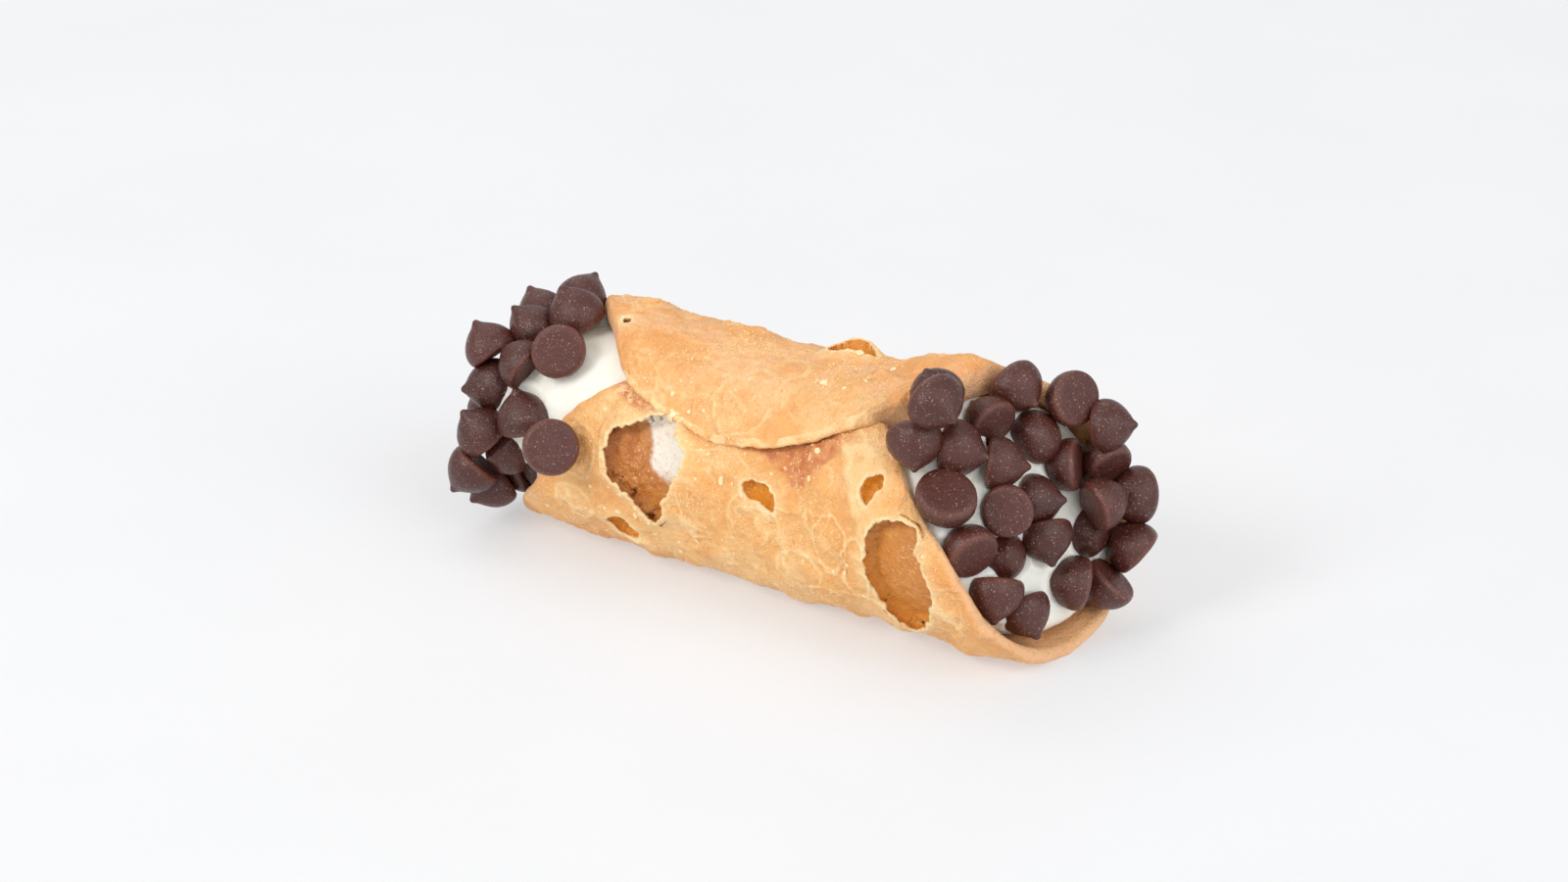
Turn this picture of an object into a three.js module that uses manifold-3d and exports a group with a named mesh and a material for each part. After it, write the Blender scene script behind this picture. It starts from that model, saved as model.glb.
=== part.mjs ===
// A mini cannoli: one oval of fried pastry rolled into a tube with a lapped flap,
// a cream filling that runs through the tube and stands out of both ends,
// and chocolate drops pressed into the cream at both ends.
// Millimetres. +X runs along the roll toward its wider end, +Z is up, and the roll
// rests on z = 0. Angles round the roll are in degrees: 0 faces -Y, 90 faces up.
import * as THREE from 'three';
import Module from 'manifold-3d';

const wasm = await Module();
wasm.setup();

// The rolled dough.
const WALL = 1.9;
const NARROW_RADIUS = 13.25;
const WIDE_RADIUS = 15.2;
const FLARE_START = -4;
const FLARE_END = 36;
const REST_SINK = 0.42;
const ROLL_RADIUS = 13.5;
const LIP_ROUND = 0.5;
// Each end: how far the oval reaches, its width round the roll, and where its seam notch is.
// The dips are shallow hollows in its edge: angle from the notch, depth and spread.
const RIGHT_END = {
  side: 1,
  reach: 37,
  round: 95,
  notchAngle: 59,
  dips: [{ at: 56, depth: 3.6, spread: 24 }, { at: -30, depth: 1.8, spread: 20 }],
};
const LEFT_END = {
  side: -1,
  reach: 35.5,
  round: 97,
  notchAngle: 50,
  dips: [{ at: -62, depth: 2.6, spread: 28 }, { at: 22, depth: 1.2, spread: 16 }],
};
const NOTCH_X = 17;
// The lapped flap: its free edge hangs below the line between the two notches.
const FLAP_STEP = 1.3;
const FLAP_FADE = 110;
const FLAP_HANG = 22;
const HANG_FADE = 90;
// The sheet's first and last columns: where they are under the flap, in degrees.
const FIRST_INSIDE = 0.8;
const LAST_INSIDE = 359.2;
const LAST_OUTSIDE = 361.5;

// The grid of the shell.
const COLUMNS = 40;
const OUTER_ROWS = 14;
const INNER_ROWS = 7;

// Low swells of the fried dough: place along, angle, half sizes and height.
const SWELLS = [
  { x: 4, angle: 60, along: 7, round: 6, height: 0.45 },
  { x: 13, angle: -26, along: 5, round: 5, height: 0.5 },
  { x: 6, angle: 101, along: 6, round: 5, height: 0.6 },
  { x: -8, angle: 96, along: 6, round: 6, height: 0.45 },
  { x: 27, angle: 90, along: 6, round: 7, height: 0.5 },
  { x: -24, angle: 88, along: 5, round: 6, height: 0.4 },
  { x: -6, angle: 190, along: 9, round: 7, height: 0.45 },
  { x: 18, angle: 170, along: 7, round: 6, height: 0.45 },
];

// Broken blisters: a pit with a ragged outline, some of them open to the filling.
const BLISTERS = [
  { x: -11.3, angle: 10, along: 4.9, round: 6.9, skew: 1.4, taper: 0.35, depth: 0.95 },
  { x: -8.6, angle: 25, along: 2.5, round: 3.0, skew: 0.5, taper: 0.1, depth: 3 },
  { x: 23.2, angle: -14, along: 3.4, round: 7.6, skew: -1.9, taper: 0, depth: 1.0 },
  { x: 5.0, angle: 11, along: 1.5, round: 1.2, skew: 0.3, taper: 0, depth: 0.9 },
  { x: 6.3, angle: 101, along: 2.6, round: 1.2, skew: 0, taper: 0, depth: 0.9 },
];
const BLISTER_POINTS = 12;
// A pit's size at its floor and its mouth, how far its cutter stands above the shell,
// and how much its outline wobbles.
const PIT_FLOOR = 0.9;
const PIT_MOUTH = 1.04;
const PIT_ABOVE = 3;
const PIT_WOBBLE = 0.08;

// The filling.
const GAP = 0.3;
const FILLING_COLUMNS = 28;
const FILLING_ROWS = 5;
// Each end of the filling: where its face stands, how it leans toward the notch, how far
// it domes, and how round its corner is.
const RIGHT_FACE = { end: RIGHT_END, stand: 30.2, lean: 0.43, dome: 2.0, corner: 2.6 };
const LEFT_FACE = { end: LEFT_END, stand: 35.6, lean: 0.12, dome: 1.2, corner: 3.5 };
const RIM_RECESS = 0.4;
// Rings of each face: shares of the way out to the wall, then the steps round its corner,
// each a share of the corner in from the wall and down from the face.
const FACE_RINGS = [0, 0.35, 0.68];
const CORNER_RINGS = [[0.75, 0.12], [0.25, 0.42], [0, 1]];

// The chocolate drops.
const DROP_SCALE = 0.88;
const DROP_HEIGHT = 0.8;
const DROP_SIDES = 8;
const DROP_PROFILE = [[0.88, 0], [1, 0.22], [0.76, 0.6], [0.26, 0.86]];
const SEAT_GROWTH = 0.36;
const SETTLE_STEP = 0.08;
const SETTLE_ROUNDS = 160;
const REST_STEP = 0.05;
const REST_STEPS = 40;
// A drop's middle, as a share of its height, and how far past the rim one can sit.
const DROP_MIDDLE = 0.4;
const PAST_RIM = 10;
const SEAT_SPAN = 1;
const HEAP_SHARE = 3;
const END_SHARE = 0.3;
const FACING = -0.2;
const NEAR_WALL_FACE = 0.35;
const NEAR_WALL_SIDE = 0.3;

// Every drop: the angle round the roll, how far out from the middle of the face, its
// width, how far its tip leans from straight out, the way it leans (0 is outward from
// the middle of the face, 90 is round the roll), and how far its middle stands up.
const RIGHT_DROPS = [
  [72, 18.6, 6.2, 5, -65, 3.4], [63, 16.6, 6.4, 93, -154, 4.3], [54, 17.5, 6.4, 100, -115, 1],
  [54, 13.5, 6.6, 65, 175, 0.7], [81, 13, 6.0, 115, 25, 0.7], [69, 9, 6.2, 50, 150, 1],
  [114, 15.5, 6.2, 110, -175, 1], [135, 13.5, 6.4, 115, 30, 2.2], [108, 9.5, 6.2, 70, -80, 0.7],
  [153, 11.8, 6.0, 25, -170, 2.8], [141, 7.5, 6.0, 170, -140, 0.7], [168, 12, 6.2, 110, -20, 1.3],
  [175.3, 12, 6.4, 154, -139, 1.1], [177.5, 7.7, 6.2, 65, -12, 3.3], [204, 8, 6.0, 35, 160, 1],
  [206.4, 10.9, 6.4, 144, -131, 1.6], [93, 2.5, 6.0, 20, 130, 1], [33, 5.5, 6.0, 150, 165, 0.7],
  [30, 13, 6.9, 140, -110, 0.7], [2, 12.5, 6.4, 150, 45, 1.2], [-8, 6.5, 6.2, 45, 75, 0.2],
  [-63, 2, 6.2, 70, 0, 1], [-36, 10, 6.4, 55, -25, 0.7], [-60, 10, 6.0, 40, -15, 0.7],
  [-102, 7.5, 6.2, 130, 135, 0.7], [-126, 12, 6.2, 110, 50, 1],
];
const LEFT_DROPS = [
  [88, 14, 6.9, 20, -145, 1], [87, 11, 6.2, 15, 120, 1.3], [72, 11, 6.0, 5, 150, 1.3],
  [54, 16, 6.4, 140, 135, 1], [48, 12, 6.2, 55, 155, 1], [31, 8.6, 6.6, 25, -75, 1.7],
  [48, 9.5, 6.0, 30, 90, 1.9], [21, 8.3, 6.0, 95, 85, 1.3], [18, 15, 6.6, 70, 105, 0.7],
  [-3, 10.5, 6.4, 55, 100, 1.9], [-15, 12, 6.0, 25, 40, 0.7], [-27, 11, 6.4, 25, -85, 2.8],
  [9, 22, 6.6, 135, -155, 4], [-45, 11.2, 6.2, 15, 60, 1.6], [122, 12, 6.4, 30, 40, 1],
  [150, 12, 6.6, 110, 70, 1], [178, 12, 6.4, 20, 0, 1], [206, 12, 6.2, 60, -100, 1],
  [236, 12, 6.6, 140, 30, 1], [266, 12, 6.4, 45, 170, 1], [294, 12, 6.4, 15, 0, 1],
  [140, 5.5, 6.4, 70, 10, 1], [220, 5.5, 6.6, 25, 90, 1], [290, 5.5, 6.4, 120, -60, 1],
  [50, 3, 6.4, 50, 200, 1],
];
// The side on which the drops heap up over each other.
const HEAP_SIDE = new THREE.Vector3(0.5, -0.75, 0.42).normalize();

const { smoothstep, degToRad, lerp, clamp } = THREE.MathUtils;

function wrapAngle(angle) {
  return ((angle + 180) % 360 + 360) % 360 - 180;
}

// Radius of the plain tube, and the height of its centre line.
function tubeRadius(x) {
  return lerp(NARROW_RADIUS, WIDE_RADIUS, smoothstep(x, FLARE_START, FLARE_END));
}

function tubeCentre(x) {
  return tubeRadius(x) - REST_SINK;
}

function onTube(x, angle, radius) {
  const a = degToRad(angle);
  const z = tubeCentre(x) + radius * Math.sin(a);
  return new THREE.Vector3(x, -radius * Math.cos(a), z);
}

// How far the rim of the rolled oval reaches, at an angle measured from the notch.
function rimReach(end, fromNotch) {
  const round = degToRad(180 - Math.abs(wrapAngle(fromNotch))) * ROLL_RADIUS;
  const share = round / (end.round / 2);
  const hollow = end.dips.reduce((sum, dip) => (
    sum + dip.depth * Math.exp(-((wrapAngle(fromNotch - dip.at) / dip.spread) ** 2))), 0);
  return end.reach * Math.sqrt(Math.max(0, 1 - share * share)) - hollow;
}

// The angle of the seam line where it passes x, ignoring the hang of the flap.
function seamAngle(x) {
  const share = clamp((x / NOTCH_X + 1) / 2, 0, 1);
  return lerp(LEFT_END.notchAngle, RIGHT_END.notchAngle, share);
}

function flapHang(x) {
  const share = x / NOTCH_X;
  return Math.abs(share) < 1 ? FLAP_HANG * (1 - share * share) : 0;
}

// The shell's columns run along the roll; those near the seam bend to follow the flap.
function columnAngle(x, fromSeam) {
  const fade = 1 - smoothstep(Math.abs(wrapAngle(fromSeam)), 0, HANG_FADE);
  return seamAngle(x) + fromSeam - flapHang(x) * fade;
}

function swellHeight(x, angle) {
  let height = 0;
  for (const swell of SWELLS) {
    const across = degToRad(wrapAngle(angle - swell.angle)) * ROLL_RADIUS;
    const d = Math.hypot((x - swell.x) / swell.along, across / swell.round);
    height += swell.height * (1 - smoothstep(d, 0, 1));
  }
  return height;
}

function outerRadius(x, fromSeam, angle) {
  const flap = fromSeam >= 0 && fromSeam < FLAP_FADE
    ? FLAP_STEP * (1 - smoothstep(fromSeam, 0, FLAP_FADE))
    : 0;
  return tubeRadius(x) + flap + swellHeight(x, angle);
}

// Closed solids are built as rings of points joined side by side.
class Rings {
  constructor() {
    this.points = [];
    this.faces = [];
  }

  add(point) {
    this.points.push(point);
    return this.points.length - 1;
  }

  ring(points) {
    return points.map((p) => this.add(p));
  }

  join(a, b) {
    for (let i = 0; i < a.length; i += 1) {
      const j = (i + 1) % a.length;
      this.faces.push([a[i], a[j], b[j]], [a[i], b[j], b[i]]);
    }
  }

  close(ring, point, flip) {
    const tip = this.add(point);
    for (let i = 0; i < ring.length; i += 1) {
      const j = (i + 1) % ring.length;
      this.faces.push(flip ? [ring[j], ring[i], tip] : [ring[i], ring[j], tip]);
    }
  }

  solid() {
    const vertProperties = new Float32Array(this.points.flatMap((p) => [p.x, p.y, p.z]));
    const triVerts = new Uint32Array(this.faces.flat());
    const made = new wasm.Manifold(new wasm.Mesh({ numProp: 3, vertProperties, triVerts }));
    return made.volume() < 0 ? flipped(vertProperties, triVerts) : made;
  }
}

function flipped(vertProperties, triVerts) {
  const turned = triVerts.slice();
  for (let i = 0; i < turned.length; i += 3) {
    [turned[i + 1], turned[i + 2]] = [turned[i + 2], turned[i + 1]];
  }
  return new wasm.Manifold(new wasm.Mesh({ numProp: 3, vertProperties, triVerts: turned }));
}

// Columns start on the flap's edge and end just under it, on the layer below.
function shellColumns() {
  const columns = [];
  const step = 360 / (COLUMNS - 1);
  for (let i = 0; i < COLUMNS; i += 1) {
    const last = i === COLUMNS - 1;
    columns.push({
      outer: last ? LAST_OUTSIDE : i * step,
      inner: last ? LAST_INSIDE : Math.max(i * step, FIRST_INSIDE),
    });
  }
  return columns;
}

function columnSpan(fromSeam) {
  return [-rimReach(LEFT_END, fromSeam), rimReach(RIGHT_END, fromSeam)];
}

function onFloor(point) {
  point.z = Math.max(point.z, 0);
  return point;
}

function buildShell() {
  const columns = shellColumns();
  const rings = new Rings();
  const outer = (column, x) => {
    const lapped = column.outer > 360 ? 360 - 1e-3 : column.outer;
    const angle = columnAngle(x, column.outer);
    return onFloor(onTube(x, angle, outerRadius(x, lapped, angle)));
  };
  const inner = (column, x) => {
    const angle = columnAngle(x, column.inner);
    return onTube(x, angle, tubeRadius(x) - WALL);
  };
  const lip = (column, x, depth) => {
    const angle = columnAngle(x, column.inner);
    const outward = onTube(x, angle, tubeRadius(x) - depth);
    return onFloor(outward);
  };
  const rows = [];
  for (let i = 0; i < OUTER_ROWS; i += 1) {
    rows.push(rings.ring(columns.map((column) => {
      const [low, high] = columnSpan(column.inner);
      return outer(column, lerp(low + LIP_ROUND, high - LIP_ROUND, i / (OUTER_ROWS - 1)));
    })));
  }
  const rightLip = (depth) => rings.ring(columns.map((column) => (
    lip(column, columnSpan(column.inner)[1], depth))));
  const leftLip = (depth) => rings.ring(columns.map((column) => (
    lip(column, columnSpan(column.inner)[0], depth))));
  rows.push(rightLip(LIP_ROUND), rightLip(WALL - LIP_ROUND));
  for (let i = 0; i < INNER_ROWS; i += 1) {
    rows.push(rings.ring(columns.map((column) => {
      const [low, high] = columnSpan(column.inner);
      return inner(column, lerp(high - LIP_ROUND, low + LIP_ROUND, i / (INNER_ROWS - 1)));
    })));
  }
  rows.push(leftLip(WALL - LIP_ROUND), leftLip(LIP_ROUND));
  rows.forEach((row, i) => rings.join(row, rows[(i + 1) % rows.length]));
  return BLISTERS.reduce((shell, blister) => shell.subtract(blisterPit(blister)), rings.solid());
}

// A pit with walls that lean in a little, cut into the shell from outside.
function blisterPit(blister) {
  const rings = new Rings();
  const outline = (radius, size) => {
    const points = [];
    for (let i = 0; i < BLISTER_POINTS; i += 1) {
      const turn = (i / BLISTER_POINTS) * Math.PI * 2;
      const up = Math.sin(turn);
      const wobble = 1 + PIT_WOBBLE * Math.sin(turn * 3 + blister.x);
      const width = blister.along * Math.cos(turn) * (1 + blister.taper * up) * size;
      const x = blister.x + (width + blister.skew * up) * wobble;
      const reach = (blister.round * up * size * wobble) / ROLL_RADIUS;
      points.push(onTube(x, blister.angle + THREE.MathUtils.radToDeg(reach), radius));
    }
    return points;
  };
  const floor = tubeRadius(blister.x) - blister.depth;
  const top = tubeRadius(blister.x) + PIT_ABOVE;
  const low = rings.ring(outline(floor, PIT_FLOOR));
  const high = rings.ring(outline(top, PIT_MOUTH));
  rings.join(low, high);
  rings.close(low, onTube(blister.x, blister.angle, floor), true);
  rings.close(high, onTube(blister.x, blister.angle, top), false);
  return rings.solid();
}

// The filling's outline on one side of an end, from the middle of its face outward and
// then back along the roll to the rim: pairs of radius and distance along.
function faceProfile(face, angle) {
  const toNotch = Math.cos(degToRad(angle - face.end.notchAngle));
  const wall = tubeRadius(face.end.side * face.stand) - WALL - GAP;
  const stand = (radius) => face.stand - face.lean * radius * toNotch
    + face.dome * (1 - (radius / wall) ** 2);
  const q = face.corner;
  const shoulder = stand(wall) - q;
  const rim = Math.min(rimReach(face.end, angle - face.end.notchAngle) - RIM_RECESS, shoulder - GAP);
  return [
    ...FACE_RINGS.map((share) => [wall * share, stand(wall * share)]),
    ...CORNER_RINGS.map(([inward, down]) => (
      [wall - inward * q, stand(wall - inward * q) - down * q])),
    [wall, rim],
  ];
}

function facePoint(face, angle, radius, along) {
  const x = face.end.side * along;
  const fit = tubeRadius(x) - tubeRadius(face.end.side * face.stand);
  const wall = tubeRadius(face.end.side * face.stand) - WALL - GAP;
  return onTube(x, angle, radius + fit * (radius / wall));
}

function buildFilling() {
  const rings = new Rings();
  const step = 360 / FILLING_COLUMNS;
  const angles = Array.from({ length: FILLING_COLUMNS }, (_, i) => i * step);
  const capRings = (face) => {
    const profiles = angles.map((angle) => faceProfile(face, angle));
    const count = profiles[0].length;
    const rows = [];
    for (let k = 1; k < count; k += 1) {
      rows.push(rings.ring(angles.map((angle, i) => facePoint(face, angle, ...profiles[i][k]))));
    }
    return { rows, middle: facePoint(face, 0, 0, profiles[0][0][1]) };
  };
  const left = capRings(LEFT_FACE);
  const right = capRings(RIGHT_FACE);
  const ends = (angle) => [
    -faceProfile(LEFT_FACE, angle).at(-1)[1],
    faceProfile(RIGHT_FACE, angle).at(-1)[1],
  ];
  const rows = [...left.rows];
  for (let i = 1; i <= FILLING_ROWS; i += 1) {
    rows.push(rings.ring(angles.map((angle) => {
      const [low, high] = ends(angle);
      const x = lerp(low, high, i / (FILLING_ROWS + 1));
      return onTube(x, angle, tubeRadius(x) - WALL - GAP);
    })));
  }
  rows.push(...right.rows.reverse());
  rows.slice(1).forEach((row, i) => rings.join(rows[i], row));
  rings.close(rows[0], left.middle, true);
  rings.close(rows.at(-1), right.middle, false);
  return rings.solid();
}

// A chocolate drop standing on z = 0 with its tip up, grown all round by `grow`.
function dropSolid(width, grow) {
  const rings = new Rings();
  const height = width * DROP_HEIGHT;
  const rows = DROP_PROFILE.map(([wide, high]) => {
    const points = [];
    for (let i = 0; i < DROP_SIDES; i += 1) {
      const turn = (i / DROP_SIDES) * Math.PI * 2;
      const radius = wide * width / 2 + grow;
      const z = high === 0 ? -grow : high * height;
      points.push(new THREE.Vector3(radius * Math.cos(turn), radius * Math.sin(turn), z));
    }
    return rings.ring(points);
  });
  rows.slice(1).forEach((row, i) => rings.join(rows[i], row));
  rings.close(rows[0], new THREE.Vector3(0, 0, -grow), true);
  rings.close(rows.at(-1), new THREE.Vector3(0, 0, height + grow), false);
  return rings.solid();
}

// Where a drop sits on a face: the place, and the directions out of the face, outward
// from its middle, and round the roll.
function seatFrame(face, angle, out) {
  const profile = faceProfile(face, angle);
  const [wall, rim] = profile.at(-1);
  profile.push([wall, rim - PAST_RIM]);
  const lengths = [0];
  for (let i = 1; i < profile.length; i += 1) {
    const run = Math.hypot(profile[i][0] - profile[i - 1][0], profile[i][1] - profile[i - 1][1]);
    lengths.push(lengths.at(-1) + run);
  }
  const at = (s) => {
    const reach = clamp(s, 0, lengths.at(-1));
    const i = clamp(lengths.findIndex((length) => length > reach) - 1, 0, profile.length - 2);
    const share = (reach - lengths[i]) / (lengths[i + 1] - lengths[i]);
    const radius = lerp(profile[i][0], profile[i + 1][0], share);
    return facePoint(face, angle, radius, lerp(profile[i][1], profile[i + 1][1], share));
  };
  const reach = Math.min(out, lengths.at(-1) - SEAT_SPAN);
  const before = at(Math.max(reach - SEAT_SPAN, 0));
  const outward = at(reach + SEAT_SPAN).sub(before).normalize();
  const a = degToRad(angle);
  const round = new THREE.Vector3(0, Math.sin(a), Math.cos(a));
  const normal = outward.clone().cross(round).normalize();
  const away = onTube(face.end.side * 100, angle, 40).sub(at(reach));
  if (normal.dot(away) < 0) {
    normal.negate();
  }
  return { place: at(reach), outward, round, normal };
}

function makeDrop(face, [angle, out, width, lean, heading, lift]) {
  const frame = seatFrame(face, angle, out);
  const leaning = frame.outward.clone().multiplyScalar(Math.cos(degToRad(heading)))
    .addScaledVector(frame.round, Math.sin(degToRad(heading)));
  const axis = frame.normal.clone().multiplyScalar(Math.cos(degToRad(lean)))
    .addScaledVector(leaning, Math.sin(degToRad(lean)));
  const middle = frame.place.clone().addScaledVector(frame.normal, lift);
  const turn = new THREE.Quaternion().setFromUnitVectors(new THREE.Vector3(0, 0, 1), axis);
  const facing = frame.normal.dot(HEAP_SIDE) > FACING;
  const clear = facing ? HEAP_SIDE : new THREE.Vector3(face.end.side, 0, 0);
  return { width: width * DROP_SCALE, axis, turn, middle, clear, normal: frame.normal };
}

function placed(drop, grow) {
  const base = drop.middle.clone().addScaledVector(drop.axis, -DROP_MIDDLE * drop.width * DROP_HEIGHT);
  const matrix = new THREE.Matrix4().compose(base, drop.turn, new THREE.Vector3(1, 1, 1));
  return dropSolid(drop.width, grow).transform(matrix.elements);
}

// The way off the shell: a drop inside the near wall goes toward the centre line, any other
// toward the side on which the drops heap up, and both go a little out of the end.
function awayFromShell({ middle, normal }) {
  const outward = new THREE.Vector3(0, middle.y, middle.z - tubeCentre(middle.x)).normalize();
  const nearWall = Math.abs(normal.x) > NEAR_WALL_FACE && outward.dot(HEAP_SIDE) > NEAR_WALL_SIDE;
  const away = nearWall ? outward.negate() : HEAP_SIDE.clone();
  away.x += Math.sign(middle.x) * END_SHARE;
  return away.normalize();
}

// Drops that touch are eased apart, mostly by one heaping over the other, and drops that
// touch the shell are eased off it.
function settle(drops, shell) {
  const solids = drops.map((drop) => placed(drop, 0));
  const moved = new Set();
  const move = (i, direction, amount) => {
    drops[i].middle.addScaledVector(direction, amount);
    moved.add(i);
  };
  for (let round = 0; round < SETTLE_ROUNDS; round += 1) {
    for (let i = 0; i < drops.length; i += 1) {
      for (let j = i + 1; j < drops.length; j += 1) {
        const apart = drops[i].middle.clone().sub(drops[j].middle);
        const near = (drops[i].width + drops[j].width) / 2 + GAP;
        if (apart.length() < near && solids[i].minGap(solids[j], 1) < GAP) {
          const side = Math.sign(apart.dot(drops[i].clear)) || 1;
          apart.addScaledVector(drops[i].clear, side * HEAP_SHARE).normalize();
          move(i, apart, SETTLE_STEP);
          move(j, apart, -SETTLE_STEP);
        }
      }
      if (solids[i].minGap(shell, 1) < GAP) {
        move(i, awayFromShell(drops[i]), SETTLE_STEP * 2);
      }
    }
    if (moved.size === 0) {
      return;
    }
    moved.forEach((i) => {
      solids[i] = placed(drops[i], 0);
    });
    moved.clear();
  }
}

// Drops that ended up clear of everything are brought back in until they rest.
function rest(drops, shell, filling) {
  const near = GAP + REST_STEP;
  drops.forEach((drop, i) => {
    const others = drops.filter((_, j) => j !== i).map((other) => placed(other, 0));
    const around = [shell, filling, ...others];
    for (let k = 0; k < REST_STEPS; k += 1) {
      const solid = placed(drop, 0);
      if (around.some((other) => solid.minGap(other, 2) < near)) {
        return;
      }
      drop.middle.addScaledVector(drop.normal, -REST_STEP);
    }
  });
}

function largestPiece(solid) {
  return solid.decompose().reduce((a, b) => (a.volume() > b.volume() ? a : b));
}

function toMesh(solid, name, material) {
  const { vertProperties, triVerts } = solid.getMesh();
  const geometry = new THREE.BufferGeometry();
  geometry.setAttribute('position', new THREE.BufferAttribute(new Float32Array(vertProperties), 3));
  geometry.setIndex(new THREE.BufferAttribute(new Uint32Array(triVerts), 1));
  geometry.computeVertexNormals();
  const mesh = new THREE.Mesh(geometry, material);
  mesh.name = name;
  return mesh;
}

const pastry = new THREE.MeshStandardMaterial({ color: '#d8a566', roughness: 0.62, metalness: 0 });
const cream = new THREE.MeshStandardMaterial({ color: '#f3f0e4', roughness: 0.35, metalness: 0 });
const chocolate = new THREE.MeshStandardMaterial({ color: '#4b332f', roughness: 0.42, metalness: 0 });

const shell = buildShell();
const rightDrops = RIGHT_DROPS.map((row) => makeDrop(RIGHT_FACE, row));
const leftDrops = LEFT_DROPS.map((row) => makeDrop(LEFT_FACE, row));
settle(rightDrops, shell);
settle(leftDrops, shell);
const wholeFilling = buildFilling();
rest(rightDrops, shell, wholeFilling);
rest(leftDrops, shell, wholeFilling);
const drops = [...rightDrops, ...leftDrops];
const filling = largestPiece(drops.reduce(
  (solid, drop) => solid.subtract(placed(drop, SEAT_GROWTH)), wholeFilling,
));

const cannoli = new THREE.Group();
cannoli.name = 'cannoli';
cannoli.add(toMesh(shell, 'shell', pastry));
cannoli.add(toMesh(filling, 'filling', cream));
rightDrops.forEach((drop, i) => {
  cannoli.add(toMesh(placed(drop, 0), `right_drop_${String(i + 1).padStart(2, '0')}`, chocolate));
});
leftDrops.forEach((drop, i) => {
  cannoli.add(toMesh(placed(drop, 0), `left_drop_${String(i + 1).padStart(2, '0')}`, chocolate));
});

export default cannoli;
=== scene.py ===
import math

import bpy
import numpy as np
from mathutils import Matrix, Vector


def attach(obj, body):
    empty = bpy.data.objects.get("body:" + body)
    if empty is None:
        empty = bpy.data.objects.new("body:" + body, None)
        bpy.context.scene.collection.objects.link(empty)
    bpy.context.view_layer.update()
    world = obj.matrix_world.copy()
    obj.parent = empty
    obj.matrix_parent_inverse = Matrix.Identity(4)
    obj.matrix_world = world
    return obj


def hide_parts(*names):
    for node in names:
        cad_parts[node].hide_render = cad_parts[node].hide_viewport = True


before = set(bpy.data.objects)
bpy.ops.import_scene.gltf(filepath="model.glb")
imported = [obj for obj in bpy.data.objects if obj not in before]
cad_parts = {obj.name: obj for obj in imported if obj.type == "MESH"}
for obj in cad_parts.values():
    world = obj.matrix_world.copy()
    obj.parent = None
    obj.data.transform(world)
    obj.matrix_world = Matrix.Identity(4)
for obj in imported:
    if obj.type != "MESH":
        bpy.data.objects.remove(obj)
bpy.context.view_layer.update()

# A mini cannoli on a pale floor: a rolled, fried pastry shell, a cream filling that stands
# out of both ends, and chocolate drops pressed into the cream. Sizes are in millimetres
# until a mesh is made, and angles round the roll are in degrees: 0 faces -Y, 90 faces up.
MM = 0.001
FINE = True

# The rolled dough, as in the part.
WALL = 1.9
NARROW_RADIUS = 13.25
WIDE_RADIUS = 15.2
FLARE = (-4, 36)
REST_SINK = 0.42
ROLL_RADIUS = 13.5
RIGHT_END = {
    "side": 1, "reach": 37, "round": 95, "notch": 59,
    "dips": [(56, 3.6, 24), (-30, 1.8, 20)],
}
LEFT_END = {
    "side": -1, "reach": 35.5, "round": 97, "notch": 50,
    "dips": [(-62, 2.6, 28), (22, 1.2, 16)],
}
NOTCH_X = 17
FLAP_STEP = 1.3
FLAP_FADE = 110
FLAP_HANG = 22
HANG_FADE = 90
LIP_ROUND = 0.8
SWELLS = [
    (4, 60, 7, 6, 0.45), (13, -26, 5, 5, 0.5), (6, 101, 6, 5, 0.6), (-8, 96, 6, 6, 0.45),
    (27, 90, 6, 7, 0.5), (-24, 88, 5, 6, 0.4), (-6, 190, 9, 7, 0.45), (18, 170, 7, 6, 0.45),
    (6.2, 101, 4.4, 3.6, 1.2), (19.5, 97, 8, 5.5, 1.5), (-20.5, 100, 3.4, 3.0, 0.6),
    (-8.5, 104, 3.0, 2.6, 0.5),
    (-23, -58, 3.4, 3.2, 0.5), (-14.5, -60, 2.2, 3.0, 0.45), (-8.5, -57, 2.8, 3.0, 0.5),
    (-0.5, -61, 2.4, 3.0, 0.4), (6.2, -58, 3.0, 3.2, 0.6), (13.6, -60, 2.4, 2.8, 0.5),
    (19.5, -57, 2.0, 2.6, 0.35), (28.5, -60, 2.8, 3.0, 0.45),
]

# The rows and columns of the sheet that is rolled into the shell.
OUTER_ROWS = 440 if FINE else 260
LIP_ROWS = 10
INNER_ROWS = 44
NEAR_COLUMNS = 310 if FINE else 190
FAR_COLUMNS = 180 if FINE else 110
EDGE_COLUMNS = 8
TUCK_COLUMNS = 8
# The columns stand closer together over the front of the roll, up to NEAR_FROM degrees
# behind the flap's edge and again from NEAR_AGAIN on.
NEAR_FROM = 75
NEAR_AGAIN = 255
FLAP_SHARE = 0.28
BACK_SHARE = 0.36
# Degrees that the dough under the flap runs on behind its edge.
TUCK = 9

# How ragged the rims and the flap's edge are, and how thick the skin of a blister is.
RIM_RAGGED = 0.22
EDGE_RAGGED = 2.2
SKIN = 0.28
# A pit's floor is flat from this far inside its torn edge.
PIT_WIDE = 1.9

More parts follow.
